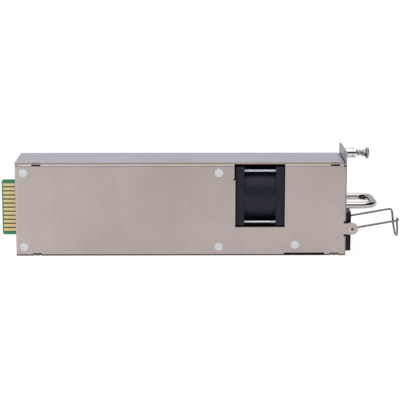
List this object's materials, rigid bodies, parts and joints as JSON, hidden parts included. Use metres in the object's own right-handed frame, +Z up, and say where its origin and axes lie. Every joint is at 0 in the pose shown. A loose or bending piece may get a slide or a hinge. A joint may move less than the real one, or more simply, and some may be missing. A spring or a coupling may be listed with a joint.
{
  "type": "hot swap server power supply",
  "caption": "Long slim metal-cased power supply module with a card edge at the rear, and a mains inlet, handle, plug retainer and captive screw at the front.",
  "frame": {"origin": "middle of the underside, on the face that the module rests on", "axes": "+X along the module to the front panel with the inlet, +Y from the large pictured face to the far one, +Z up; the card edge is at the -X end"},
  "size_m": [0.2452, 0.041, 0.0647],
  "materials": {
    "base_chassis": "plated steel sheet, satin",
    "outer_cover": "plated steel sheet, satin",
    "board_standoffs": "bright zinc plate",
    "board_screws": "bright zinc plate",
    "main_board": "green solder mask",
    "gold_fingers": "hard gold plate",
    "insulating_film": "black film",
    "fan_frame": "black moulding",
    "fan_rotor": "black moulding",
    "fan_shaft": "ground steel",
    "fan_stator": "enamelled copper",
    "fan_screws": "zinc plate",
    "fan_bracket": "plated steel sheet",
    "inlet_housing": "black thermoplastic",
    "inlet_pins": "nickel plated brass",
    "pull_handle": "bright plated steel",
    "handle_screws": "zinc plate",
    "retention_bail": "plated spring wire",
    "screw_ferrule": "nickel plate",
    "screw_spring": "spring steel",
    "captive_screw": "nickel plate",
    "status_light_pipe": "clear plastic",
    "bulk_capacitor": "black shrink sleeve over an aluminium can",
    "output_capacitors": "bare aluminium cans",
    "transformer_core": "sintered ferrite",
    "transformer_bobbin": "moulded bobbin",
    "transformer_coil": "yellow winding tape",
    "primary_heat_sink": "extruded, bare",
    "secondary_heat_sink": "extruded, bare",
    "power_transistors": "moulded package",
    "output_rectifiers": "moulded package",
    "bridge_rectifier": "moulded package",
    "boost_inductor_core": "coated powder core",
    "boost_inductor_winding": "enamelled copper",
    "output_inductor_core": "coated powder core",
    "output_inductor_winding": "enamelled copper",
    "mains_choke_core": "ferrite",
    "mains_choke_winding": "enamelled copper",
    "x_capacitor": "yellow moulded box",
    "y_capacitors": "blue dipped disc",
    "mains_fuse": "ceramic tube with metal caps",
    "standby_transformer": "taped winding",
    "control_board": "green solder mask",
    "control_chip": "moulded package",
    "fan_header": "white connector body"
  },
  "bodies": {
    "case": {"base_chassis": "base_chassis", "outer_cover": "outer_cover", "board_standoffs": "board_standoffs", "board_screws": "board_screws", "main_board": "main_board", "gold_fingers": "gold_fingers", "insulating_film": "insulating_film", "fan_frame": "fan_frame", "fan_stator": "fan_stator", "fan_screws": "fan_screws", "fan_bracket": "fan_bracket", "inlet_housing": "inlet_housing", "inlet_pins": "inlet_pins", "pull_handle": "pull_handle", "handle_screws": "handle_screws", "screw_ferrule": "screw_ferrule", "status_light_pipe": "status_light_pipe", "bulk_capacitor": "bulk_capacitor", "output_capacitors": "output_capacitors", "transformer_core": "transformer_core", "transformer_bobbin": "transformer_bobbin", "transformer_coil": "transformer_coil", "primary_heat_sink": "primary_heat_sink", "secondary_heat_sink": "secondary_heat_sink", "power_transistors": "power_transistors", "output_rectifiers": "output_rectifiers", "bridge_rectifier": "bridge_rectifier", "boost_inductor_core": "boost_inductor_core", "boost_inductor_winding": "boost_inductor_winding", "output_inductor_core": "output_inductor_core", "output_inductor_winding": "output_inductor_winding", "mains_choke_core": "mains_choke_core", "mains_choke_winding": "mains_choke_winding", "x_capacitor": "x_capacitor", "y_capacitors": "y_capacitors", "mains_fuse": "mains_fuse", "standby_transformer": "standby_transformer", "control_board": "control_board", "control_chip": "control_chip", "fan_header": "fan_header"},
    "fan": {"fan_rotor": "fan_rotor", "fan_shaft": "fan_shaft"},
    "plug_retainer": {"retention_bail": "retention_bail"},
    "screw_carriage": {"screw_spring": "screw_spring"},
    "panel_screw": {"captive_screw": "captive_screw"}
  },
  "joints": [
    {"name": "fan_spin", "type": "hinge", "parent": "case", "child": "fan", "pos_m": [0.0483, 0, 0.0366], "axis": [1, 0, 0], "continuous": true},
    {"name": "retainer_swing", "type": "hinge", "parent": "case", "child": "plug_retainer", "pos_m": [0.1051, 0, 0.01685], "axis": [0, -1, 0], "range_deg": [-110, 85]},
    {"name": "screw_press", "type": "slide", "parent": "case", "child": "screw_carriage", "axis": [-1, 0, 0], "range_m": [0, 0.0049], "stiffness_N_per_m": 500, "deforming": ["screw_spring"]},
    {"name": "screw_turn", "type": "hinge", "parent": "screw_carriage", "child": "panel_screw", "pos_m": [0.1099, -0.002, 0.0612], "axis": [1, 0, 0], "continuous": true}
  ]
}
